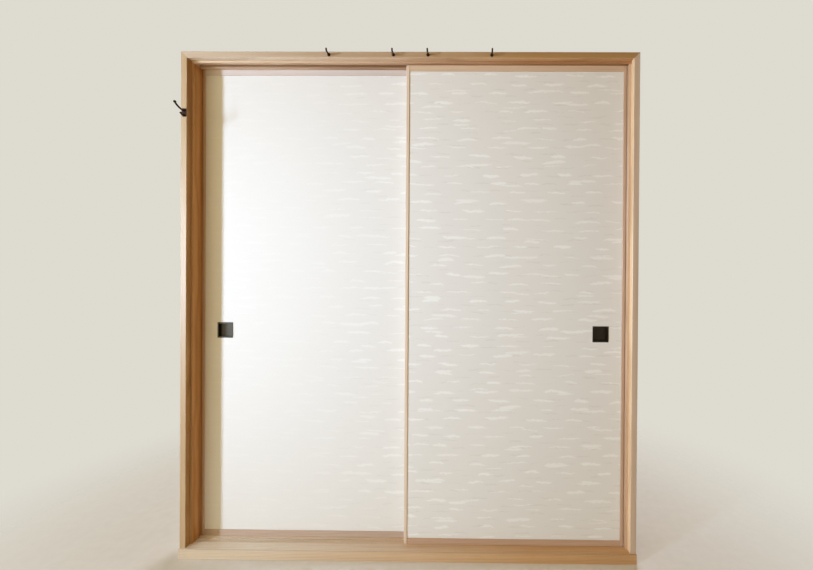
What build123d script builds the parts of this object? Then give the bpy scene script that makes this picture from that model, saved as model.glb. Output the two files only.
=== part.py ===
from build123d import *
import os

# A pair of sliding closet panels covered in paper, in their wooden frame.
# X runs along the sill, +Y into the closet, +Z up.
# The origin is the middle of the sill's underside. All sizes are in millimetres.

# Opening
opening_width = 1620.0
opening_height = 1800.0

# Tracks in the sill and the head
front_lip = 12.0
groove_width = 21.0
ridge_width = 12.0
back_lip = 12.0
sill_groove_depth = 3.0
head_groove_depth = 15.0

# Sill, head and jambs
sill_thickness = 36.0
head_thickness = 36.0
jamb_thickness = 30.0
tenon_length = 10.0
tenon_thickness = 12.0
tenon_width = 36.0
joint_clearance = 0.2

# Casing round the front of the frame
casing_proud = 22.0
casing_reveal = 8.0
side_casing_width = 22.0
head_casing_width = 22.0
casing_tongue_thickness = 6.0
casing_tongue_length = 8.0
casing_arris = 1.2
sill_nosing = 5.0
sill_arris = 1.5

# Panels
panel_overlap = 30.0
side_gap = 0.5
front_rest_gap = 2.5
running_gap = 0.3
groove_play = 1.5
head_entry = 10.0
stile_width = 12.0
top_rail_height = 31.0
bottom_rail_height = 24.0
core_seat = 3.0
rim_arris = 1.2

# Core of each panel
core_thickness = 13.0
paper_thickness = 0.5
edge_bar_width = 17.0
lattice_bar_width = 11.0
core_tenon_length = 6.0
core_tenon_thickness = 5.0
crossbars_below_pull = 4
crossbars_above_pull = 5
upright_count = 3
brace_leg = 90.0
brace_thickness = 9.0

# Recessed pull
pull_size = 60.0
pull_flange = 4.0
pull_lip = 1.6
pull_depth = 9.0
pull_wall = 1.0
pull_height = 796.0
pull_inset = 90.0
pull_board_width = 92.0
pull_board_height = 134.0
pull_nail_diameter = 1.6
pull_nail_length = 9.0

# Fixings
frame_screw_diameter = 4.0
frame_screw_head = 8.0
frame_screw_head_height = 4.0
frame_screw_length = 70.0
frame_screw_spacing = 56.0
rail_nail_diameter = 2.0
rail_nail_head = 4.0
rail_nail_head_height = 1.5
rail_nail_bite = 10.0
rail_nail_count = 3
stile_pin_diameter = 2.5
stile_pin_depth = 6.0
stile_pin_count = 4

# Small hooks on the head casing: each is a bent wire with a flange
head_hook_places = [-296.0, -59.5, 67.0, 300.0]
hook_wire = 6.0
hook_flange = 12.0
hook_flange_thickness = 2.0
hook_reach = 29.0
hook_rise = 6.5
hook_bend = 5.0
hook_screw_diameter = 3.0
hook_screw_length = 16.0
hook_height_in_casing = 10.0

# Coat hook with two arms on the left casing
coat_hook_height = 1605.0
coat_hook_inset = 9.0
coat_plate_width = 16.0
coat_plate_height = 30.0
coat_plate_thickness = 2.5
coat_plate_corner = 4.0
coat_arm_diameter = 6.5
coat_arm_ball = 9.5
coat_arm_root = 5.5
coat_arm_reach = 48.5
coat_arm_half_way_rise = 4.0
coat_arm_rise = 14.5
coat_arm_leave_slope = 0.0
coat_arm_end_slope = 1.2
coat_prong_diameter = 5.5
coat_prong_ball = 7.0
coat_prong_root = -9.0
coat_prong_reach = 20.5
coat_prong_half_way_rise = -2.5
coat_prong_rise = 1.0
coat_prong_leave_slope = -0.5
coat_prong_end_slope = 1.0
coat_screw_diameter = 3.0
coat_screw_head = 5.0
coat_screw_head_height = 1.5
coat_screw_length = 14.0
coat_screw_places = [12.2, -2.0]

# Places that follow from the sizes above
track_depth = front_lip + 2 * groove_width + ridge_width + back_lip
sill_depth = sill_nosing + casing_proud + track_depth
sill_front = -sill_depth / 2
casing_front = sill_front + sill_nosing
jamb_front = casing_front + casing_proud
frame_back = jamb_front + track_depth
jamb_middle = (jamb_front + frame_back) / 2
half_opening = opening_width / 2
half_frame = half_opening + jamb_thickness
sill_top = sill_thickness
head_bottom = sill_top + opening_height
frame_top = head_bottom + head_thickness
front_groove = jamb_front + front_lip
rear_groove = front_groove + groove_width + ridge_width
casing_inner = half_opening + casing_reveal
casing_outer = casing_inner + side_casing_width
casing_bottom = head_bottom + casing_reveal
casing_top = casing_bottom + head_casing_width

rim_thickness = groove_width - groove_play
panel_width = (opening_width + panel_overlap) / 2 - side_gap
panel_bottom = sill_top - sill_groove_depth + running_gap
panel_top = head_bottom + head_entry
travel = opening_width - 2 * side_gap - panel_width
front_track = front_groove + groove_width / 2
rear_track = rear_groove + groove_width / 2
core_left = stile_width - core_seat
core_right = panel_width - core_left
core_bottom = panel_bottom + bottom_rail_height - core_seat
core_top = panel_top - top_rail_height + core_seat
seat_width = core_thickness + 2 * paper_thickness + 2 * joint_clearance
pull_level = sill_top + pull_height
cup_size = pull_size - 2 * pull_flange


def block(x0, x1, y0, y1, z0, z1):
    """A box between two corners."""
    size = (x1 - x0, y1 - y0, z1 - z0)
    middle = ((x0 + x1) / 2, (y0 + y1) / 2, (z0 + z1) / 2)
    return Pos(*middle) * Box(*size)


def upright_pin(x, y, z0, z1, diameter):
    """A round pin standing along Z."""
    return Pos(x, y, (z0 + z1) / 2) * Cylinder(diameter / 2, z1 - z0)


def cross_pin(x0, x1, y, z, diameter):
    """A round pin lying along X."""
    return Pos((x0 + x1) / 2, y, z) * Rot(0, 90, 0) * Cylinder(diameter / 2, x1 - x0)


def depth_pin(x, y0, y1, z, diameter):
    """A round pin lying along Y."""
    return Pos(x, (y0 + y1) / 2, z) * Rot(90, 0, 0) * Cylinder(diameter / 2, y1 - y0)


def spread(start, end, count):
    """Evenly spaced places between two ends, neither end included."""
    step = (end - start) / (count + 1)
    return [start + step * (k + 1) for k in range(count)]


def group(solids):
    """Separate solids kept together in one node."""
    return Compound(list(solids))


def edges_at(part, axis, low, high, slack=0.01):
    """Edges along one axis whose middle lies between two corners."""
    def inside(edge):
        return all(a - slack <= c <= b + slack for a, c, b in zip(low, edge.center(), high))
    return part.edges().filter_by(axis).filter_by(inside)


# Frame

def screw_places():
    """Where the frame screws stand, as pairs of X and Y."""
    x_side = half_opening + jamb_thickness / 2
    y_near = jamb_middle - frame_screw_spacing / 2
    y_far = jamb_middle + frame_screw_spacing / 2
    return [(side * x_side, y) for side in (-1, 1) for y in (y_near, y_far)]


def frame_screw(x, y, outer, inward):
    """A screw with a sunk round head; inward is +1 for up and -1 for down."""
    head_end = outer + inward * frame_screw_head_height
    tip = outer + inward * frame_screw_length
    head = upright_pin(x, y, min(outer, head_end), max(outer, head_end), frame_screw_head)
    shank = upright_pin(x, y, min(outer, tip), max(outer, tip), frame_screw_diameter)
    return head + shank


def frame_screws():
    """Four screws up through the sill and four down through the head."""
    low = [frame_screw(x, y, 0, 1) for x, y in screw_places()]
    high = [frame_screw(x, y, frame_top, -1) for x, y in screw_places()]
    return low + high


def tenon(side, end, inward, clearance=0.0):
    """The stub tenon on a jamb's end, or its mortise when given a clearance."""
    x = side * (half_opening + jamb_thickness / 2)
    half_x = tenon_thickness / 2 + clearance
    half_y = tenon_width / 2 + clearance
    far = end + inward * (tenon_length + clearance)
    low = min(end, far)
    high = max(end, far)
    return block(x - half_x, x + half_x, jamb_middle - half_y, jamb_middle + half_y, low, high)


def make_sill():
    """The sill with two shallow grooves between the jambs."""
    sill = block(-half_frame, half_frame, sill_front, frame_back, 0, sill_top)
    for start in (front_groove, rear_groove):
        floor = sill_top - sill_groove_depth
        sill -= block(-half_opening, half_opening, start, start + groove_width, floor, sill_top)
    for side in (-1, 1):
        sill -= tenon(side, sill_top, -1, joint_clearance)
    for screw in frame_screws():
        sill -= screw
    nosing = edges_at(sill, Axis.X, (-1, sill_front, sill_top), (1, sill_front, sill_top))
    return chamfer(nosing, sill_arris)


def make_head():
    """The head with two deep grooves and the slot that takes the casing's tongue."""
    head = block(-half_frame, half_frame, jamb_front, frame_back, head_bottom, frame_top)
    for start in (front_groove, rear_groove):
        ceiling = head_bottom + head_groove_depth
        head -= block(-half_opening, half_opening, start, start + groove_width, head_bottom, ceiling)
    for side in (-1, 1):
        head -= tenon(side, head_bottom, 1, joint_clearance)
    for screw in frame_screws():
        head -= screw
    return head - head_casing_tongue(joint_clearance) - side_slots()


def make_jamb(side):
    """A jamb between sill and head, with a stub tenon at each end."""
    inner = side * half_opening
    outer = side * half_frame
    jamb = block(min(inner, outer), max(inner, outer), jamb_front, frame_back, sill_top, head_bottom)
    jamb += tenon(side, sill_top, -1)
    jamb += tenon(side, head_bottom, 1)
    for screw in frame_screws():
        jamb -= screw
    return jamb - side_slots()


def side_casing_tongue(side, clearance=0.0):
    """The tongue behind a side casing, or its slot when given a clearance."""
    x = side * (casing_inner + side_casing_width / 2)
    half = casing_tongue_thickness / 2 + clearance
    back = jamb_front + casing_tongue_length + clearance
    return block(x - half, x + half, jamb_front, back, sill_top, casing_bottom + head_casing_width / 2)


def head_casing_tongue(clearance=0.0):
    """The tongue behind the head casing, or its slot when given a clearance."""
    z = casing_bottom + head_casing_width / 2
    half = casing_tongue_thickness / 2 + clearance
    reach = casing_inner + side_casing_width / 2
    back = jamb_front + casing_tongue_length + clearance
    return block(-reach, reach, jamb_front, back, z - half, z + half)


def side_slots():
    """The slots for both side casings."""
    return side_casing_tongue(-1, joint_clearance) + side_casing_tongue(1, joint_clearance)


def mitre_wedge(side):
    """The space above the mitre of a side casing, which the head casing fills."""
    slope_x = side_casing_width
    slope_z = head_casing_width
    inner = (side * (casing_inner - slope_x), casing_bottom - slope_z)
    outer = (side * (casing_outer + slope_x), casing_top + slope_z)
    top_inner = (side * (casing_inner - slope_x), casing_top + slope_z)
    face = Plane.XZ * make_face(Polyline(inner, outer, top_inner, close=True))
    return Pos(0, frame_back, 0) * extrude(face, sill_depth)


def make_side_casing(side):
    """A side casing standing on the sill, mitred at its top, with its tongue."""
    inner = side * casing_inner
    outer = side * casing_outer
    bar = block(min(inner, outer), max(inner, outer), casing_front, jamb_front, sill_top, casing_top)
    low = (-casing_outer, casing_front, sill_top)
    high = (casing_outer, casing_front, casing_top)
    bar = chamfer(edges_at(bar, Axis.Z, low, high), casing_arris)
    bar += side_casing_tongue(side)
    bar -= mitre_wedge(side)
    if side < 0:
        for z in coat_screw_levels():
            bar -= coat_screw(z)
    return bar


def make_head_casing():
    """The head casing, mitred at both ends, with its tongue and the hooks' holes."""
    bar = block(-casing_outer, casing_outer, casing_front, jamb_front, casing_bottom, casing_top)
    arrises = edges_at(bar, Axis.X, (-1, casing_front, casing_bottom), (1, casing_front, casing_top))
    bar = chamfer(arrises, casing_arris)
    bar += head_casing_tongue()
    bar = bar & (mitre_wedge(-1) + mitre_wedge(1) + block(
        -casing_inner, casing_inner, casing_front, frame_back, casing_bottom, casing_top))
    for x in head_hook_places:
        bar -= hook_screw(x)
    return bar


# Hooks

def hook_level():
    """The height of the small hooks' screws."""
    return casing_bottom + hook_height_in_casing


def hook_screw(x):
    """The screw end of a small hook, inside the casing."""
    return depth_pin(x, casing_front, casing_front + hook_screw_length, hook_level(), hook_screw_diameter)


def make_head_hook(x):
    """A small hook: screw, flange, straight wire and upturned end with a round tip."""
    z = hook_level()
    wire_end = casing_front - hook_reach + hook_wire / 2
    path = FilletPolyline((x, casing_front, z), (x, wire_end, z), (x, wire_end, z + hook_rise), radius=hook_bend)
    wire = sweep(Plane(origin=(x, casing_front, z), z_dir=(0, -1, 0)) * Circle(hook_wire / 2), path=path)
    tip = Pos(x, wire_end, z + hook_rise) * Sphere(hook_wire / 2)
    flange = depth_pin(x, casing_front - hook_flange_thickness, casing_front, z, hook_flange)
    rim = flange.edges().filter_by(GeomType.CIRCLE).sort_by(Axis.Y)[0]
    flange = chamfer(rim, hook_flange_thickness / 2)
    return hook_screw(x) + flange + wire + tip


def coat_hook_x():
    """The middle of the coat hook, a little inward of the left casing's middle."""
    return -(casing_inner + coat_hook_inset)


def coat_hook_level():
    """The height of the coat hook's middle."""
    return sill_top + coat_hook_height


def coat_screw_levels():
    """The heights of the coat hook's two screws: above the long arm and below it."""
    return [coat_hook_level() + place for place in coat_screw_places]


def coat_screw(z):
    """A small round-headed screw through the coat hook's plate."""
    x = coat_hook_x()
    face = casing_front - coat_plate_thickness
    shank = depth_pin(x, face, face + coat_screw_length, z, coat_screw_diameter)
    head = depth_pin(x, face - coat_screw_head_height, face, z, coat_screw_head)
    return shank + head


def coat_hook_arm(start, middle, end, slopes, diameter, ball):
    """A round arm through three points, given as reach and level, that ends in a ball."""
    x = coat_hook_x()
    points = [(x, casing_front - reach, coat_hook_level() + level) for reach, level in (start, middle, end)]
    path = Spline(*points, tangents=[(0, -1, slope) for slope in slopes])
    rod = sweep(Plane(origin=path @ 0, z_dir=path % 0) * Circle(diameter / 2), path=path)
    return rod + Pos(*points[2]) * Sphere(ball / 2)


def upper_arm():
    """The long arm that leaves the plate level, then rises."""
    start = (coat_plate_thickness / 2, coat_arm_root)
    middle = (coat_arm_reach * 0.55, coat_arm_root + coat_arm_half_way_rise)
    end = (coat_arm_reach - coat_arm_ball / 2, coat_arm_root + coat_arm_rise)
    slopes = (coat_arm_leave_slope, coat_arm_end_slope)
    return coat_hook_arm(start, middle, end, slopes, coat_arm_diameter, coat_arm_ball)


def lower_prong():
    """The short prong under the long arm."""
    start = (coat_plate_thickness / 2, coat_prong_root)
    middle = (coat_prong_reach * 0.55, coat_prong_root + coat_prong_half_way_rise)
    end = (coat_prong_reach - coat_prong_ball / 2, coat_prong_root + coat_prong_rise)
    slopes = (coat_prong_leave_slope, coat_prong_end_slope)
    return coat_hook_arm(start, middle, end, slopes, coat_prong_diameter, coat_prong_ball)


def make_coat_hook():
    """A cast hook: a plate with a long upper arm and a short lower prong."""
    x = coat_hook_x()
    z = coat_hook_level()
    outline = RectangleRounded(coat_plate_width, coat_plate_height, coat_plate_corner)
    back = Plane(origin=(x, casing_front, z), x_dir=(1, 0, 0), z_dir=(0, -1, 0))
    plate = extrude(back * outline, coat_plate_thickness)
    hook = plate + upper_arm() + lower_prong()
    for level in coat_screw_levels():
        hook -= depth_pin(x, casing_front - coat_plate_thickness, casing_front, level, coat_screw_diameter)
    return hook


# Panels
# Each panel is drawn from its left edge at X = 0 with its middle plane at Y = 0.
# Its pull is near the edge named by pull_side: -1 for the left edge, +1 for the right.

def crossbar_levels():
    """Heights of the lattice crossbars: two hold the pull board, the rest are even."""
    below = pull_level - (pull_board_height + lattice_bar_width) / 2
    above = pull_level + (pull_board_height + lattice_bar_width) / 2
    first = core_bottom + edge_bar_width - lattice_bar_width / 2
    last = core_top - edge_bar_width + lattice_bar_width / 2
    lower = spread(first, below, crossbars_below_pull)
    upper = spread(above, last, crossbars_above_pull)
    return lower + [below, above] + upper


def upright_places():
    """X places of the lattice uprights."""
    first = core_left + edge_bar_width - lattice_bar_width / 2
    last = core_right - edge_bar_width + lattice_bar_width / 2
    return spread(first, last, upright_count)


def pull_x(pull_side):
    """The X place of the pull's middle."""
    return pull_inset if pull_side < 0 else panel_width - pull_inset


def make_stile(x0, inner_side):
    """A rim stile with a seat for the core along its inner face."""
    half = rim_thickness / 2
    stile = block(x0, x0 + stile_width, -half, half, panel_bottom, panel_top)
    stile = chamfer(stile.edges().filter_by(Axis.Z), rim_arris)
    inner = x0 + stile_width if inner_side > 0 else x0
    seat_end = inner - inner_side * core_seat
    half_seat = seat_width / 2
    stile -= block(min(inner, seat_end), max(inner, seat_end), -half_seat, half_seat, panel_bottom, panel_top)
    for pin in stile_pins():
        stile -= pin
    return stile


def make_rail(z0, height, inner_side):
    """A rim rail between the stiles, with tongues in their seats and its own seat."""
    half = rim_thickness / 2
    rail = block(stile_width, panel_width - stile_width, -half, half, z0, z0 + height)
    rail = chamfer(rail.edges().filter_by(Axis.X), rim_arris)
    tongue = seat_width / 2 - joint_clearance
    rail += block(core_left, core_right, -tongue, tongue, z0 + rim_arris, z0 + height - rim_arris)
    inner = z0 + height if inner_side > 0 else z0
    seat_end = inner - inner_side * core_seat
    half_seat = seat_width / 2
    rail -= block(core_left, core_right, -half_seat, half_seat, min(inner, seat_end), max(inner, seat_end))
    for nail in rail_nails():
        rail -= nail
    return rail


def rail_nails():
    """Nails up through the bottom rail and down through the top rail."""
    nails = []
    for x in spread(stile_width, panel_width - stile_width, rail_nail_count):
        offset = x + lattice_bar_width
        low_tip = core_bottom + rail_nail_bite
        low = upright_pin(offset, 0, panel_bottom, low_tip, rail_nail_diameter)
        low += upright_pin(offset, 0, panel_bottom, panel_bottom + rail_nail_head_height, rail_nail_head)
        high_tip = core_top - rail_nail_bite
        high = upright_pin(offset, 0, high_tip, panel_top, rail_nail_diameter)
        high += upright_pin(offset, 0, panel_top - rail_nail_head_height, panel_top, rail_nail_head)
        nails += [low, high]
    return nails


def stile_pins():
    """Blind pins between each stile and the core's edge bar."""
    pins = []
    for z in spread(core_bottom, core_top, stile_pin_count):
        level = z + lattice_bar_width
        for x in (core_left, core_right):
            pins.append(cross_pin(x - stile_pin_depth, x + stile_pin_depth, 0, level, stile_pin_diameter))
    return pins


def core_tenons_in_z(clearance=0.0):
    """The stub tenons at the ends of the crossbars, in the upright edge bars."""
    half = core_tenon_thickness / 2 + clearance
    rise = lattice_bar_width / 2
    inner_left = core_left + edge_bar_width
    inner_right = core_right - edge_bar_width
    reach = core_tenon_length + clearance
    tenons = []
    for z in crossbar_levels():
        tenons.append(block(inner_left - reach, inner_left, -half, half, z - rise, z + rise))
        tenons.append(block(inner_right, inner_right + reach, -half, half, z - rise, z + rise))
    return tenons


def core_tenons_in_x(clearance=0.0):
    """The stub tenons at the ends of the uprights, in the level edge bars."""
    half = core_tenon_thickness / 2 + clearance
    spread_x = lattice_bar_width / 2
    inner_low = core_bottom + edge_bar_width
    inner_high = core_top - edge_bar_width
    reach = core_tenon_length + clearance
    tenons = []
    for x in upright_places():
        tenons.append(block(x - spread_x, x + spread_x, -half, half, inner_low - reach, inner_low))
        tenons.append(block(x - spread_x, x + spread_x, -half, half, inner_high, inner_high + reach))
    return tenons


def make_edge_bars():
    """The four bars round the core: two run full height, two fit between them."""
    half = core_thickness / 2
    inner_left = core_left + edge_bar_width
    inner_right = core_right - edge_bar_width
    bars = [
        block(core_left, inner_left, -half, half, core_bottom, core_top),
        block(inner_right, core_right, -half, half, core_bottom, core_top),
        block(inner_left, inner_right, -half, half, core_bottom, core_bottom + edge_bar_width),
        block(inner_left, inner_right, -half, half, core_top - edge_bar_width, core_top),
    ]
    upright_cuts = core_tenons_in_z(joint_clearance) + stile_pins()
    level_cuts = core_tenons_in_x(joint_clearance) + rail_nails()
    shaped = []
    for bar, cuts in zip(bars, (upright_cuts, upright_cuts, level_cuts, level_cuts)):
        for cut in cuts:
            bar -= cut
        shaped.append(bar)
    return group(shaped)


def make_crossbars():
    """Level lattice bars, halved at the back where the uprights cross them."""
    half = core_thickness / 2
    tenons = core_tenons_in_z()
    bars = []
    for k, z in enumerate(crossbar_levels()):
        low = z - lattice_bar_width / 2
        high = z + lattice_bar_width / 2
        bar = block(core_left + edge_bar_width, core_right - edge_bar_width, -half, half, low, high)
        bar += tenons[2 * k] + tenons[2 * k + 1]
        for x in upright_places():
            bar -= block(x - lattice_bar_width / 2, x + lattice_bar_width / 2, 0, half, low, high)
        bars.append(bar)
    return group(bars)


def make_uprights():
    """Upright lattice bars, halved at the front where the crossbars cross them."""
    half = core_thickness / 2
    tenons = core_tenons_in_x()
    bars = []
    for k, x in enumerate(upright_places()):
        left = x - lattice_bar_width / 2
        right = x + lattice_bar_width / 2
        bar = block(left, right, -half, half, core_bottom + edge_bar_width, core_top - edge_bar_width)
        bar += tenons[2 * k] + tenons[2 * k + 1]
        for z in crossbar_levels():
            bar -= block(left, right, -half, 0, z - lattice_bar_width / 2, z + lattice_bar_width / 2)
        bars.append(bar)
    return group(bars)


def make_corner_braces():
    """Three-cornered boards that keep the core square."""
    corners = []
    for x, run in ((core_left + edge_bar_width, 1), (core_right - edge_bar_width, -1)):
        for z, rise in ((core_bottom + edge_bar_width, 1), (core_top - edge_bar_width, -1)):
            outline = Polyline((x, z), (x + run * brace_leg, z), (x, z + rise * brace_leg), close=True)
            face = Plane.XZ * make_face(outline)
            corners.append(extrude(face, brace_thickness / 2, both=True))
    return group(corners)


def make_pull_board(pull_side):
    """The board between two crossbars that holds the pull."""
    x = pull_x(pull_side)
    half = core_thickness / 2
    half_width = pull_board_width / 2
    low = pull_level - pull_board_height / 2
    high = pull_level + pull_board_height / 2
    board = block(x - half_width, x + half_width, -half, half, low, high)
    board -= pull_space(pull_side)
    for nail in pull_nails(pull_side):
        board -= nail
    return board


def square_block(pull_side, size, y0, y1):
    """A square block on the pull's middle."""
    x = pull_x(pull_side)
    half = size / 2
    return block(x - half, x + half, y0, y1, pull_level - half, pull_level + half)


def pull_space(pull_side):
    """The square recess cut for the pull's cup."""
    front = -core_thickness / 2 - paper_thickness
    floor = front + pull_depth + pull_wall + joint_clearance
    return square_block(pull_side, cup_size + 2 * joint_clearance, front, floor)


def make_sheet(y0, pull_side=None):
    """One face of paper, with a square hole if it carries the pull."""
    sheet = block(core_left, core_right, y0, y0 + paper_thickness, core_bottom, core_top)
    if pull_side is not None:
        sheet -= pull_space(pull_side)
    return sheet


def make_pull(pull_side):
    """A square metal cup with a flat flange, open to the room."""
    face = -core_thickness / 2 - paper_thickness
    flange = square_block(pull_side, pull_size, face - pull_lip, face)
    flange = chamfer(flange.faces().sort_by(Axis.Y)[0].edges(), pull_lip / 2)
    body = square_block(pull_side, cup_size, face - pull_lip / 2, face + pull_depth + pull_wall)
    hollow = square_block(pull_side, cup_size - 2 * pull_wall, face - pull_lip, face + pull_depth)
    cup = flange + body - hollow
    for nail in pull_nails(pull_side):
        cup -= nail
    return cup


def pull_nails(pull_side):
    """Two small nails through the cup's upper and lower walls into the board."""
    x = pull_x(pull_side)
    inside = cup_size / 2 - pull_wall
    y = -core_thickness / 2 - paper_thickness + pull_depth / 2
    start = pull_level + inside
    top = upright_pin(x, y, start - pull_wall, start + pull_nail_length, pull_nail_diameter)
    start = pull_level - inside
    bottom = upright_pin(x, y, start - pull_nail_length, start + pull_wall, pull_nail_diameter)
    return [top, bottom]


def make_panel(name, pull_side):
    """All nodes of one panel, in the panel's own place."""
    paper_front = -core_thickness / 2 - paper_thickness
    outer_first = pull_side < 0
    left_stile = make_stile(0, 1)
    right_stile = make_stile(panel_width - stile_width, -1)
    return {
        f"{name}_outer_stile": left_stile if outer_first else right_stile,
        f"{name}_meeting_stile": right_stile if outer_first else left_stile,
        f"{name}_bottom_rail": make_rail(panel_bottom, bottom_rail_height, 1),
        f"{name}_top_rail": make_rail(panel_top - top_rail_height, top_rail_height, -1),
        f"{name}_core_edge_bars": make_edge_bars(),
        f"{name}_lattice_crossbars": make_crossbars(),
        f"{name}_lattice_uprights": make_uprights(),
        f"{name}_corner_braces": make_corner_braces(),
        f"{name}_pull_board": make_pull_board(pull_side),
        f"{name}_front_paper": make_sheet(paper_front, pull_side),
        f"{name}_back_paper": make_sheet(core_thickness / 2),
        f"{name}_pull_cup": make_pull(pull_side),
        f"{name}_pull_nails": group(pull_nails(pull_side)),
        f"{name}_rail_nails": group(rail_nails()),
        f"{name}_stile_pins": group(stile_pins()),
    }


def make_frame():
    """All nodes of the fixed frame."""
    nodes = {
        "sill": make_sill(),
        "head_track": make_head(),
        "left_jamb": make_jamb(-1),
        "right_jamb": make_jamb(1),
        "left_casing": make_side_casing(-1),
        "right_casing": make_side_casing(1),
        "head_casing": make_head_casing(),
        "frame_screws": group(frame_screws()),
        "coat_hook": make_coat_hook(),
        "coat_hook_screws": group([coat_screw(z) for z in coat_screw_levels()]),
    }
    for k, x in enumerate(head_hook_places):
        nodes[f"head_hook_{k + 1}"] = make_head_hook(x)
    return nodes


def main():
    """Build every node and write it."""
    os.makedirs("parts", exist_ok=True)
    nodes = make_frame()
    rear = Pos(-half_opening + side_gap, rear_track, 0)
    front = Pos(half_opening - front_rest_gap - panel_width, front_track, 0)
    nodes.update({name: rear * shape for name, shape in make_panel("left_panel", -1).items()})
    nodes.update({name: front * shape for name, shape in make_panel("right_panel", 1).items()})
    for name, shape in nodes.items():
        export_step(shape, f"parts/{name}.step")
    print(f"travel {travel:.2f}, panel {panel_width:.2f} by {panel_top - panel_bottom:.2f}")


main()
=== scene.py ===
import math
import bpy
from mathutils import Matrix, Vector

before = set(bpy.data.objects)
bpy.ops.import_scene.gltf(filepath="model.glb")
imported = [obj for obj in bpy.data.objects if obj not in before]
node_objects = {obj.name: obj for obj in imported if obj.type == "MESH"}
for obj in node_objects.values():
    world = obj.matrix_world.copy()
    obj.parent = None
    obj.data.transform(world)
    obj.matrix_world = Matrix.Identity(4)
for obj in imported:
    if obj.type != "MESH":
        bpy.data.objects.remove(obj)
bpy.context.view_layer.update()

# Lengths are in metres. Colours and tones are 0 to 255 screen values until linear() turns them.

CASING_REVEAL = 0.008
SILL_GROOVE_DEPTH = 0.003
FRAME_EDGE = 0.0004
RIM_EDGE = 0.0003


def linear(r, g, b, a=1.0):
    """A screen colour as the linear colour that a shader takes."""
    def one(v):
        v = v / 255
        return v / 12.92 if v <= 0.04045 else ((v + 0.055) / 1.055) ** 2.4
    return (one(r), one(g), one(b), a)


# Node trees

class Tree:
    """A material's node tree with short calls for what the materials need."""

    def __init__(self, name):
        self.material = bpy.data.materials.new(name)
        self.material.use_nodes = True
        self.tree = self.material.node_tree
        self.tree.nodes.clear()
        self.output = self.add("ShaderNodeOutputMaterial")

    def add(self, kind, **settings):
        node = self.tree.nodes.new(kind)
        for key, value in settings.items():
            setattr(node, key, value)
        return node

    def feed(self, socket, value):
        """Link a socket to another, or give it a constant."""
        if isinstance(value, bpy.types.NodeSocket):
            self.tree.links.new(value, socket)
        else:
            socket.default_value = value

    def math(self, operation, *values):
        node = self.add("ShaderNodeMath", operation=operation)
        for k, value in enumerate(values):
            self.feed(node.inputs[k], value)
        return node.outputs[0]

    def chain(self, operation, first, others):
        """One operation on a first value and each of the others in turn."""
        for value in others:
            first = self.math(operation, first, value)
        return first

    def plus(self, first, *others):
        return self.chain("ADD", first, others)

    def minus(self, first, *others):
        return self.chain("SUBTRACT", first, others)

    def times(self, first, *others):
        return self.chain("MULTIPLY", first, others)

    def place(self):
        """The point on the surface in the row frame."""
        return self.add("ShaderNodeTexCoord").outputs["Object"]

    def split(self, vector):
        node = self.add("ShaderNodeSeparateXYZ")
        self.feed(node.inputs[0], vector)
        return node.outputs

    def join(self, x, y, z):
        node = self.add("ShaderNodeCombineXYZ")
        for socket, value in zip(node.inputs, (x, y, z)):
            self.feed(socket, value)
        return node.outputs[0]

    def scaled(self, values, scales):
        """A vector of three values, each times its own scale."""
        return self.join(*(self.times(value, scale) for value, scale in zip(values, scales)))

    def shifted(self, vector, by):
        node = self.add("ShaderNodeMapping")
        self.feed(node.inputs["Vector"], vector)
        node.inputs["Location"].default_value = by
        return node.outputs[0]

    def noise(self, vector, scale=1.0, detail=2.0, roughness=0.5):
        node = self.add("ShaderNodeTexNoise")
        self.feed(node.inputs["Vector"], vector)
        node.inputs["Scale"].default_value = scale
        node.inputs["Detail"].default_value = detail
        node.inputs["Roughness"].default_value = roughness
        return node.outputs["Fac"]

    def random(self, vector):
        """Three random values that are the same all over a cell."""
        node = self.add("ShaderNodeTexWhiteNoise", noise_dimensions="3D")
        self.feed(node.inputs["Vector"], vector)
        return self.split(node.outputs["Color"])

    def span(self, value, low, high, to_low=0.0, to_high=1.0, smooth=False):
        """A value taken from one range to another, and kept inside it."""
        node = self.add("ShaderNodeMapRange", interpolation_type="SMOOTHSTEP" if smooth else "LINEAR")
        self.feed(node.inputs["Value"], value)
        self.feed(node.inputs["From Min"], low)
        self.feed(node.inputs["From Max"], high)
        self.feed(node.inputs["To Min"], to_low)
        self.feed(node.inputs["To Max"], to_high)
        return node.outputs["Result"]

    def ramp(self, value, stops):
        node = self.add("ShaderNodeValToRGB")
        self.feed(node.inputs["Fac"], value)
        elements = node.color_ramp.elements
        while len(elements) < len(stops):
            elements.new(1.0)
        for element, (position, colour) in zip(elements, stops):
            element.position = position
            element.color = colour
        return node.outputs["Color"]

    def mix(self, factor, a, b):
        node = self.add("ShaderNodeMix", data_type="RGBA")
        self.feed(node.inputs[0], factor)
        self.feed(node.inputs[6], a)
        self.feed(node.inputs[7], b)
        return node.outputs[2]

    def bump(self, height, strength, distance):
        node = self.add("ShaderNodeBump")
        node.inputs["Strength"].default_value = strength
        node.inputs["Distance"].default_value = distance
        self.feed(node.inputs["Height"], height)
        return node.outputs["Normal"]

    def surface(self, **values):
        """The finished shader; names are the sockets of Principled BSDF with _ for a space."""
        shader = self.add("ShaderNodeBsdfPrincipled")
        for name, value in values.items():
            self.feed(shader.inputs[name.replace("_", " ")], value)
        self.tree.links.new(shader.outputs[0], self.output.inputs["Surface"])
        return self.material


# Wood

PALE_GROWTH = (13, 15, 16)
DARK_GROWTH = (0.88, 0.84, 0.79)
RING_PITCH = 0.0042
RING_WAVER = 0.018
SEED_SHIFT = 3.7
# Where the painted shade of a level board's darker right tone starts along x, and where it is full.
SHADE_TO_RIGHT_START = -0.6
SHADE_TO_RIGHT_END = 0.45


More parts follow.
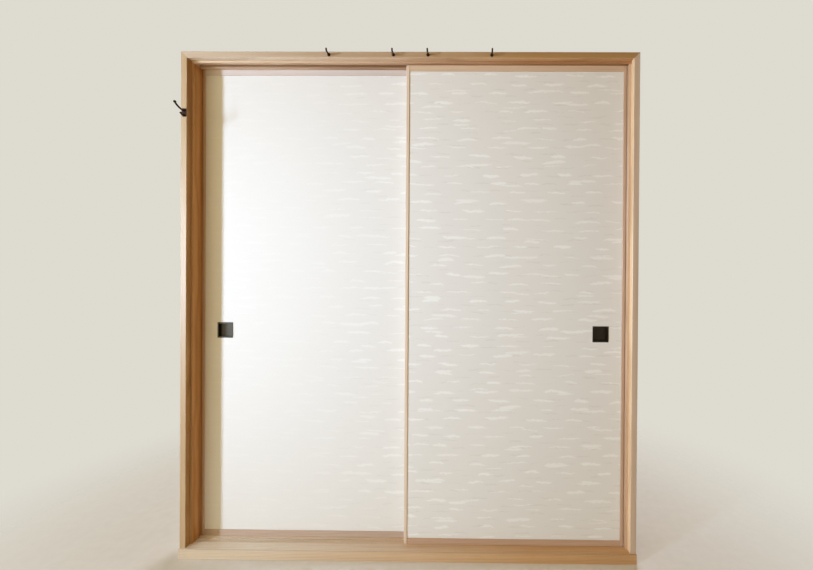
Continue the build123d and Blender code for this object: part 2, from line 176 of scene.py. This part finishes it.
def wood_stops(tone):
    """The ramp of one wood, from pale early growth to dark late growth."""
    pale = linear(*(min(v + more, 255) for v, more in zip(tone, PALE_GROWTH)))
    dark = linear(*(v * share for v, share in zip(tone, DARK_GROWTH)))
    return ((0.36, pale), (0.62, linear(*tone)), (0.95, dark))


def board_colour(t, x, growth, tone, shaded_right_tone=None):
    """The colour of a board, which may have a darker tone at the right: painted shade where less window
    light falls.
    """
    colour = t.ramp(growth, wood_stops(tone))
    if shaded_right_tone:
        shade_to_right = t.span(x, SHADE_TO_RIGHT_START, SHADE_TO_RIGHT_END)
        colour = t.mix(shade_to_right, colour, t.ramp(growth, wood_stops(shaded_right_tone)))
    return colour


def growth_rings(t, along, a, b, seed):
    """Rings round a heart beside the board, 1 where growth is late; slow noise bends them."""
    slow = t.join(t.times(along, 1.4), t.times(a, 5.0), t.plus(b, seed * SEED_SHIFT))
    waver = t.times(t.minus(t.noise(slow), 0.5), RING_WAVER)
    from_heart_a = t.plus(a, 0.11 + 0.03 * math.sin(seed))
    from_heart_b = t.plus(b, 0.09 + 0.04 * math.cos(seed * 1.7))
    squares = t.plus(t.times(from_heart_a, from_heart_a), t.times(from_heart_b, from_heart_b))
    radius = t.plus(t.math("SQRT", squares), waver)
    wave = t.math("SINE", t.times(radius, 2 * math.pi / RING_PITCH))
    return t.math("POWER", t.span(wave, -1.0, 1.0), 2.2)


def wood(name, grain, tones, seed, gloss=0.4, coat=0.18, painted_light_zones=()):
    """Straight-grained softwood with its fibres along one axis: rings, fibres and slow changes of tone,
    with painted shade at the right and painted light and shade in zones.
    """
    t = Tree(name)
    x, y, z = t.split(t.place())
    along, a, b = {"X": (x, y, z), "Y": (y, x, z), "Z": (z, x, y)}[grain]
    rings = growth_rings(t, along, a, b, seed)
    fibres = t.noise(t.scaled((along, a, b), (9.0, 520.0, 520.0)), detail=3.0, roughness=0.6)
    shifted_b = t.plus(b, seed * SEED_SHIFT)
    patches = t.noise(t.scaled((along, a, shifted_b), (1.1, 46.0, 46.0)), roughness=0.55)
    growth = t.plus(t.times(rings, 0.3), t.plus(t.times(fibres, 0.34), t.times(patches, 0.62)))
    colour = board_colour(t, x, growth, *tones)
    # Each zone paints light or shade onto the faces it covers, in other tones.
    for axis, start, full, *painted_tones in painted_light_zones:
        inside = t.span({"X": x, "Y": y, "Z": z}[axis], start, full)
        colour = t.mix(inside, colour, board_colour(t, x, growth, *painted_tones))
    height = t.plus(t.times(rings, 0.5), fibres)
    return t.surface(
        Base_Color=colour,
        Roughness=t.span(fibres, 0.25, 0.75, gloss - 0.06, gloss + 0.1),
        Specular_IOR_Level=0.42,
        Coat_Weight=coat,
        Coat_Roughness=max(gloss - 0.12, 0.12),
        Normal=t.bump(height, 0.35, 0.00025),
    )


# Paper

# The pitch is across and up. Length and height are those of the longest and thickest strokes.
FINE_STROKES = dict(pitch=(0.147, 0.034), length=0.098, height=0.0098, soft=0.0046)
BROAD_STROKES = dict(pitch=(0.29, 0.071), length=0.112, height=0.0112, soft=0.0046)
DIM_STROKES = dict(pitch=(0.123, 0.027), length=0.08, height=0.0064, soft=0.0044)
STROKE_ARCH = 0.006
STROKE_TILT = 0.12
STROKE_WANDER = 0.015
STROKE_RAGGED = 0.009


def strokes(t, x, z, seed, pitch, length, height, soft):
    """A mask of short level strokes, one to a cell of the pitch and staggered row by row."""
    pitch_x, pitch_z = pitch
    row_place = t.plus(t.math("DIVIDE", z, pitch_z), seed * 7.3)
    row = t.math("FLOOR", row_place)
    row_shift = t.random(t.join(row, seed * 1.9, 0.5))[0]
    column_place = t.plus(t.math("DIVIDE", x, pitch_x), t.times(row, 0.5), t.times(row_shift, 0.6))
    column = t.math("FLOOR", column_place)
    random_x, random_z, random_length = t.random(t.join(column, row, seed))
    random_arch, random_tilt, random_height = t.random(t.join(row, column, seed + 31.0))
    middle_x = t.plus(0.36, t.times(random_x, 0.28))
    middle_z = t.plus(0.35, t.times(random_z, 0.3))
    dx = t.times(t.minus(t.math("FRACT", column_place), middle_x), pitch_x)
    dz = t.times(t.minus(t.math("FRACT", row_place), middle_z), pitch_z)
    half_length = t.times(length, t.plus(0.3, t.times(random_length, 0.24)))
    to_end = t.math("DIVIDE", dx, half_length)
    square = t.times(to_end, to_end)
    arch = t.times(square, t.times(t.minus(random_arch, 0.3), STROKE_ARCH))
    tilt = t.times(dx, t.times(t.minus(random_tilt, 0.5), STROKE_TILT))
    slow = t.noise(t.join(t.times(x, 24.0), t.times(z, 30.0), seed + 9.0))
    wander = t.times(t.minus(slow, 0.5), STROKE_WANDER)
    quick = t.noise(t.join(t.times(x, 80.0), t.times(z, 220.0), seed))
    ragged = t.times(t.minus(quick, 0.5), STROKE_RAGGED)
    off = t.math("ABSOLUTE", t.minus(t.plus(dz, arch), t.plus(tilt, wander)))
    half_height = t.times(height, t.plus(0.35, t.times(random_height, 0.4)))
    thick = t.times(t.minus(1.0, t.times(square, square)), half_height)
    return t.span(t.plus(t.minus(thick, off), ragged), 0.0, soft, smooth=True)


def mist_paper(name, seed, ground, stroke, shade, washed_out_left_strength):
    """Thick covering paper with a traditional pattern of drifting mist: pale strokes on off-white."""
    t = Tree(name)
    x, y, z = t.split(t.place())
    fine = strokes(t, x, z, seed + 1.0, **FINE_STROKES)
    broad = strokes(t, x, z, seed + 2.0, **BROAD_STROKES)
    pale = t.math("MAXIMUM", fine, t.times(broad, 0.9))
    dim = strokes(t, x, z, seed + 5.0, **DIM_STROKES)
    fibre = t.noise(t.scaled((x, y, z), (420.0, 420.0, 900.0)), detail=4.0, roughness=0.7)
    cloud = t.noise(t.join(t.times(x, 3.0), seed, t.times(z, 8.0)), detail=3.0)
    # Painted light: the strokes fade towards the left, where the window light is brightest.
    strength = t.span(x, -0.4, 0.1, washed_out_left_strength, 1.0)
    amount = t.times(pale, strength, t.span(cloud, 0.3, 0.7, 0.7, 1.0))
    colour = t.mix(t.times(dim, strength, 0.5), ground, shade)
    colour = t.mix(amount, colour, stroke)
    colour = t.mix(t.span(fibre, 0.35, 0.75, 0.0, 0.3), colour, shade)
    height = t.plus(t.times(fibre, 0.6), pale)
    return t.surface(
        Base_Color=colour,
        Roughness=t.span(amount, 0.0, 1.0, 0.82, 0.6),
        Specular_IOR_Level=0.3,
        Normal=t.bump(height, 0.25, 0.00012),
    )


def plain_paper(name, seed, ground, shade):
    """Backing paper with visible fibres and slight mottling."""
    t = Tree(name)
    x, y, z = t.split(t.place())
    fibre = t.noise(t.scaled((x, y, z), (180.0, 180.0, 520.0)), detail=4.0, roughness=0.7)
    cloud = t.noise(t.join(t.times(x, 5.0), seed, t.times(z, 5.0)), detail=4.0)
    tone = t.plus(t.span(fibre, 0.35, 0.75, 0.0, 0.6), t.span(cloud, 0.35, 0.7, 0.0, 0.4))
    return t.surface(
        Base_Color=t.mix(tone, ground, shade),
        Roughness=0.88,
        Specular_IOR_Level=0.25,
        Normal=t.bump(fibre, 0.3, 0.00015),
    )


# Metal

def dark_metal(name, seed, body, worn, rough, metallic):
    """Dark finished metal, mottled, with a few specks where the finish is thin."""
    t = Tree(name)
    place = t.shifted(t.place(), (seed, 0.0, seed * 0.3))
    mottle = t.noise(place, 160.0, 4.0, 0.6)
    speck = t.noise(place, 900.0, 2.0, 0.5)
    wear = t.times(t.span(mottle, 0.45, 0.75), t.span(speck, 0.5, 0.8))
    return t.surface(
        Base_Color=t.mix(wear, body, worn),
        Metallic=metallic,
        Roughness=t.span(mottle, 0.3, 0.7, rough - 0.08, rough + 0.1),
        Specular_IOR_Level=0.5,
        Normal=t.bump(speck, 0.15, 0.0001),
    )


def plated_steel(name):
    """Zinc-plated steel with a fine grain."""
    t = Tree(name)
    grain = t.noise(t.place(), 700.0, 3.0, 0.6)
    return t.surface(
        Base_Color=t.ramp(grain, ((0.3, linear(186, 184, 178)), (0.7, linear(150, 150, 148)))),
        Metallic=1.0,
        Roughness=t.span(grain, 0.3, 0.7, 0.3, 0.42),
    )


# Materials on the nodes

def extent(node, axis):
    """How low and how high a CAD node reaches along an axis."""
    values = [corner["XYZ".index(axis)] for corner in node_objects[node].bound_box]
    return min(values), max(values)


def give(node, material):
    """The node keeps its mesh and takes one material."""
    o = node_objects[node]
    o.data.materials.clear()
    o.data.materials.append(material)


def soften(node, width):
    """Sharp edges of a CAD node catch a little light."""
    modifier = node_objects[node].modifiers.new("soft_edges", "BEVEL")
    modifier.width = width
    modifier.segments = 2
    modifier.limit_method = "ANGLE"
    modifier.angle_limit = math.radians(40)
    modifier.harden_normals = False


sill_front, sill_back = extent("sill", "Y")
sill_top = extent("sill", "Z")[1]
groove_floor = sill_top - SILL_GROOVE_DEPTH
left_jamb_side = extent("left_jamb", "X")[1]
casing_front = extent("left_casing", "Y")[0]
right_casing_side = extent("right_jamb", "X")[0] + CASING_REVEAL
head_casing_underside = extent("head_track", "Z")[0] + CASING_REVEAL

# Each board has its own tone, as boards from one tree do. The level ones of the frame have a second,
# darker tone at the
# right: painted shade where the window light falls off. A zone is a stretch of other tones near one face,
# painted light or
# painted shade on that face: an axis, where the zone starts, where it is full, and its tones.
# Painted light and shade on the sill: its top and groove floors are paler than its groove walls and its
# front and back faces, as if lit from above.
SILL_TONES = (237, 225, 210), (211, 169, 121)
SHADED_GROOVE_WALL_TONES = (178, 158, 138), (160, 120, 82)
SHADED_SILL_FACE_TONES = (204, 182, 156), (194, 150, 102)
PAINTED_UNDERSIDE_LIGHT_TONES = (240, 226, 210), (214, 170, 126)
SILL_LIGHT_AND_SHADE_ZONES = [
    ("Z", sill_top - 0.0001, sill_top - 0.0004, *SHADED_GROOVE_WALL_TONES),
    ("Z", groove_floor + 0.0004, groove_floor + 0.0001, *SILL_TONES),
    ("Y", sill_front + 0.0008, sill_front + 0.0002, *SHADED_SILL_FACE_TONES),
    ("Y", sill_back - 0.0008, sill_back - 0.0002, *SHADED_SILL_FACE_TONES),
]
# Painted shade: the left jamb's inner side, in the shadow of the casing, is darker and more orange.
LEFT_JAMB_SHADE_ZONES = [("X", left_jamb_side - 0.0025, left_jamb_side - 0.0008, (196, 138, 76))]
# Painted shade: the left casing's sides and back, behind its front face, are darker and more orange.
LEFT_CASING_SHADE_ZONES = [("Y", casing_front + 0.0007, casing_front + 0.003, (179, 131, 73))]
# Painted light: the right casing's inner side, which faces the window, is paler.
RIGHT_CASING_LIGHT_ZONES = [("X", right_casing_side + 0.0012, right_casing_side + 0.0004, (231, 199, 160))]
# Painted light: the head casing's underside is paler, as if lit from below.
HEAD_CASING_LIGHT_ZONES = [
    ("Z", head_casing_underside + 0.0009, head_casing_underside + 0.0003, *PAINTED_UNDERSIDE_LIGHT_TONES),
]

FRAME_PIECES = {
    "sill": dict(grain="X", tones=SILL_TONES, gloss=0.26, coat=0.35, painted_light_zones=SILL_LIGHT_AND_SHADE_ZONES),
    "head_track": dict(grain="X", tones=[(212, 184, 156), (163, 116, 76)]),
    "left_jamb": dict(grain="Z", tones=[(206, 171, 132)], painted_light_zones=LEFT_JAMB_SHADE_ZONES),
    "right_jamb": dict(grain="Z", tones=[(206, 173, 141)]),
    "left_casing": dict(grain="Z", tones=[(185, 154, 115)], painted_light_zones=LEFT_CASING_SHADE_ZONES),
    "right_casing": dict(grain="Z", tones=[(198, 173, 150)], painted_light_zones=RIGHT_CASING_LIGHT_ZONES),
    "head_casing": dict(grain="X", tones=[(198, 174, 149), (162, 119, 66)], painted_light_zones=HEAD_CASING_LIGHT_ZONES),
}
RIM_PIECES = {
    "left_panel_outer_stile": ("Z", (205, 176, 150)),
    "left_panel_meeting_stile": ("Z", (207, 180, 154)),
    "left_panel_bottom_rail": ("X", (189, 163, 144)),
    "left_panel_top_rail": ("X", (210, 195, 188)),
    "right_panel_outer_stile": ("Z", (193, 160, 134)),
    "right_panel_meeting_stile": ("Z", (220, 197, 174)),
    "right_panel_bottom_rail": ("X", (190, 155, 129)),
    "right_panel_top_rail": ("X", (209, 178, 148)),
}
CORE_TONE = (222, 194, 150)
CORE_PIECES = {
    "core_edge_bars": "Z",
    "lattice_crossbars": "X",
    "lattice_uprights": "Z",
    "corner_braces": "X",
    "pull_board": "Z",
}
HOOK_PIECES = ("coat_hook", "coat_hook_screws", "head_hook_1", "head_hook_2", "head_hook_3", "head_hook_4")

PAPER_GROUND = linear(231, 227, 222)
PAPER_STROKE = linear(246, 244, 241)
PAPER_SHADE = linear(215, 210, 204)
BACKING_GROUND = linear(233, 228, 216)
BACKING_SHADE = linear(219, 212, 197)
WORN_BLACK = linear(92, 86, 76)
# The strokes show less at the left end of the left panel's paper: painted light, where the window light
# washes them out.
PANELS = {
    "left_panel": dict(pull=linear(51, 45, 34), washed_out_left_strength=0.12),
    "right_panel": dict(pull=linear(34, 22, 6), washed_out_left_strength=1.0),
}

for k, (node, look) in enumerate(FRAME_PIECES.items()):
    give(node, wood(f"wood_{node}", seed=1.0 + k, **look))
    soften(node, FRAME_EDGE)
for k, (node, (grain, tone)) in enumerate(RIM_PIECES.items()):
    give(node, wood(f"wood_{node}", grain, [tone], 20.0 + k))
    soften(node, RIM_EDGE)

steel = plated_steel("steel")
bronze = dark_metal("bronze", 1.0, linear(52, 36, 26), linear(120, 84, 54), 0.38, 0.85)
for node in HOOK_PIECES:
    give(node, bronze)
give("frame_screws", steel)

for p, (panel, look) in enumerate(PANELS.items()):
    for k, (piece, grain) in enumerate(CORE_PIECES.items()):
        node = f"{panel}_{piece}"
        give(node, wood(f"wood_{node}", grain, [CORE_TONE], 50.0 + 10 * p + k, gloss=0.6))
    paper_colours = (PAPER_GROUND, PAPER_STROKE, PAPER_SHADE)
    paper = mist_paper(f"mist_{panel}", 3.0 + 11.0 * p, *paper_colours, look["washed_out_left_strength"])
    give(f"{panel}_front_paper", paper)
    give(f"{panel}_back_paper", plain_paper(f"backing_{panel}", 2.0 + p, BACKING_GROUND, BACKING_SHADE))
    black = dark_metal(f"black_{panel}", 5.0 + p, look["pull"], WORN_BLACK, 0.42, 0.6)
    give(f"{panel}_pull_cup", black)
    give(f"{panel}_pull_nails", black)
    give(f"{panel}_rail_nails", steel)
    give(f"{panel}_stile_pins", steel)


# Floor

FLOOR_RADIUS = 2.2
FLOOR_CORNERS = 96
FADE_START = 0.8
FADE_END = 2.1


def floor_material():
    """Pale and matt, with a faint grain, and clear far from the object."""
    t = Tree("floor")
    place = t.place()
    distance = t.add("ShaderNodeVectorMath", operation="LENGTH")
    t.feed(distance.inputs[0], place)
    fade = t.span(distance.outputs["Value"], FADE_START, FADE_END, smooth=True)
    grain = t.noise(place, 30.0, 3.0)
    colour = t.ramp(grain, ((0.3, linear(238, 238, 237)), (0.7, linear(243, 243, 242))))
    diffuse = t.add("ShaderNodeBsdfDiffuse")
    t.feed(diffuse.inputs["Color"], colour)
    clear = t.add("ShaderNodeBsdfTransparent")
    blend = t.add("ShaderNodeMixShader")
    t.feed(blend.inputs[0], fade)
    t.feed(blend.inputs[1], diffuse.outputs[0])
    t.feed(blend.inputs[2], clear.outputs[0])
    t.feed(t.output.inputs["Surface"], blend.outputs[0])
    return t.material


def make_floor():
    """A pale floor that fades into the background far from the object."""
    angles = [2 * math.pi * k / FLOOR_CORNERS for k in range(FLOOR_CORNERS)]
    ring = [(FLOOR_RADIUS * math.cos(a), FLOOR_RADIUS * math.sin(a), 0.0) for a in angles]
    mesh = bpy.data.meshes.new("floor")
    mesh.from_pydata(ring, [], [list(range(FLOOR_CORNERS))])
    floor = bpy.data.objects.new("floor", mesh)
    bpy.context.scene.collection.objects.link(floor)
    mesh.materials.append(floor_material())


make_floor()


# Light

EVEN_COLOUR = linear(255, 212, 140)
EVEN_STRENGTH = 0.288
BACKGROUND_COLOUR = linear(222, 219, 209)

# Sizes are width and height in metres, powers are in watts, and spreads in degrees.
LAMPS = {
    "window": dict(place=(-4.6, -3.05, 1.15), target=(-0.6, 0.0, 1.12), size=(0.4, 2.0),
                   power=22.6, colour=linear(200, 223, 255), spread=38.0),
    "room": dict(place=(-2.6, -3.4, 1.4), target=(-0.3, 0.0, 1.25), size=(3.2, 1.6),
                 power=66.0, colour=linear(255, 249, 209), spread=180.0),
    "back_fill": dict(place=(1.5, 4.5, 2.6), target=(0.0, 0.0, 0.9), size=(3.0, 2.0),
                      power=190.0, colour=linear(236, 243, 255), spread=180.0),
}


def make_world():
    """Even light for the object, and a pale plain background for what the camera and reflections see."""
    world = bpy.data.worlds.new("room")
    bpy.context.scene.world = world
    world.use_nodes = True
    nodes = world.node_tree.nodes
    links = world.node_tree.links
    nodes.clear()
    path = nodes.new("ShaderNodeLightPath")
    through = nodes.new("ShaderNodeMath")
    through.operation = "MAXIMUM"
    links.new(path.outputs["Is Camera Ray"], through.inputs[0])
    links.new(path.outputs["Is Transmission Ray"], through.inputs[1])
    either = nodes.new("ShaderNodeMath")
    either.operation = "MAXIMUM"
    links.new(through.outputs[0], either.inputs[0])
    links.new(path.outputs["Is Glossy Ray"], either.inputs[1])
    even = nodes.new("ShaderNodeBackground")
    even.inputs["Color"].default_value = EVEN_COLOUR
    even.inputs["Strength"].default_value = EVEN_STRENGTH
    seen = nodes.new("ShaderNodeBackground")
    seen.inputs["Color"].default_value = BACKGROUND_COLOUR
    seen.inputs["Strength"].default_value = 1.0
    blend = nodes.new("ShaderNodeMixShader")
    links.new(either.outputs[0], blend.inputs[0])
    links.new(even.outputs[0], blend.inputs[1])
    links.new(seen.outputs[0], blend.inputs[2])
    output = nodes.new("ShaderNodeOutputWorld")
    links.new(blend.outputs[0], output.inputs["Surface"])


def make_lamp(name, place, target, size, power, colour, spread):
    """A rectangular soft lamp that faces a point."""
    data = bpy.data.lights.new(name, "AREA")
    data.shape = "RECTANGLE"
    data.size, data.size_y = size
    data.energy = power
    data.spread = math.radians(spread)
    data.color = colour[:3]
    lamp = bpy.data.objects.new(name, data)
    bpy.context.scene.collection.objects.link(lamp)
    lamp.location = place
    lamp.rotation_euler = (Vector(target) - Vector(place)).to_track_quat("-Z", "Y").to_euler()


make_world()
for lamp_name, lamp_look in LAMPS.items():
    make_lamp(lamp_name, **lamp_look)


# Camera

# The image's size, focal length and optical centre are in pixels, and the angles in degrees.
IMAGE_WIDTH = 813
IMAGE_HEIGHT = 570
FOCAL_PIXELS = 359.7
CENTRE_X = 461.3
CENTRE_Y = 273.8
SENSOR_WIDTH = 36.0
CAMERA_PLACE = (0.2038, -1.363, 1.0616)
CAMERA_DIP = 0.25
CAMERA_TURN = 0.43
CAMERA_ROLL = 0.38


def make_camera():
    """The photograph's viewpoint: square to the panels, a little above their middle."""
    data = bpy.data.cameras.new("camera")
    data.sensor_fit = "HORIZONTAL"
    data.sensor_width = SENSOR_WIDTH
    data.lens = FOCAL_PIXELS * SENSOR_WIDTH / IMAGE_WIDTH
    data.shift_x = (IMAGE_WIDTH / 2 - CENTRE_X) / IMAGE_WIDTH
    data.shift_y = (CENTRE_Y - IMAGE_HEIGHT / 2) / IMAGE_WIDTH
    data.clip_start = 0.02
    data.clip_end = 100.0
    camera = bpy.data.objects.new("camera", data)
    bpy.context.scene.collection.objects.link(camera)
    level = Matrix.Rotation(math.radians(90.0 - CAMERA_DIP), 4, "X")
    turn = Matrix.Rotation(math.radians(CAMERA_TURN), 4, "Z")
    roll = Matrix.Rotation(math.radians(CAMERA_ROLL), 4, "Z")
    camera.matrix_world = Matrix.Translation(CAMERA_PLACE) @ turn @ level @ roll
    bpy.context.scene.camera = camera


make_camera()

bpy.context.scene.view_settings.view_transform = "Standard"
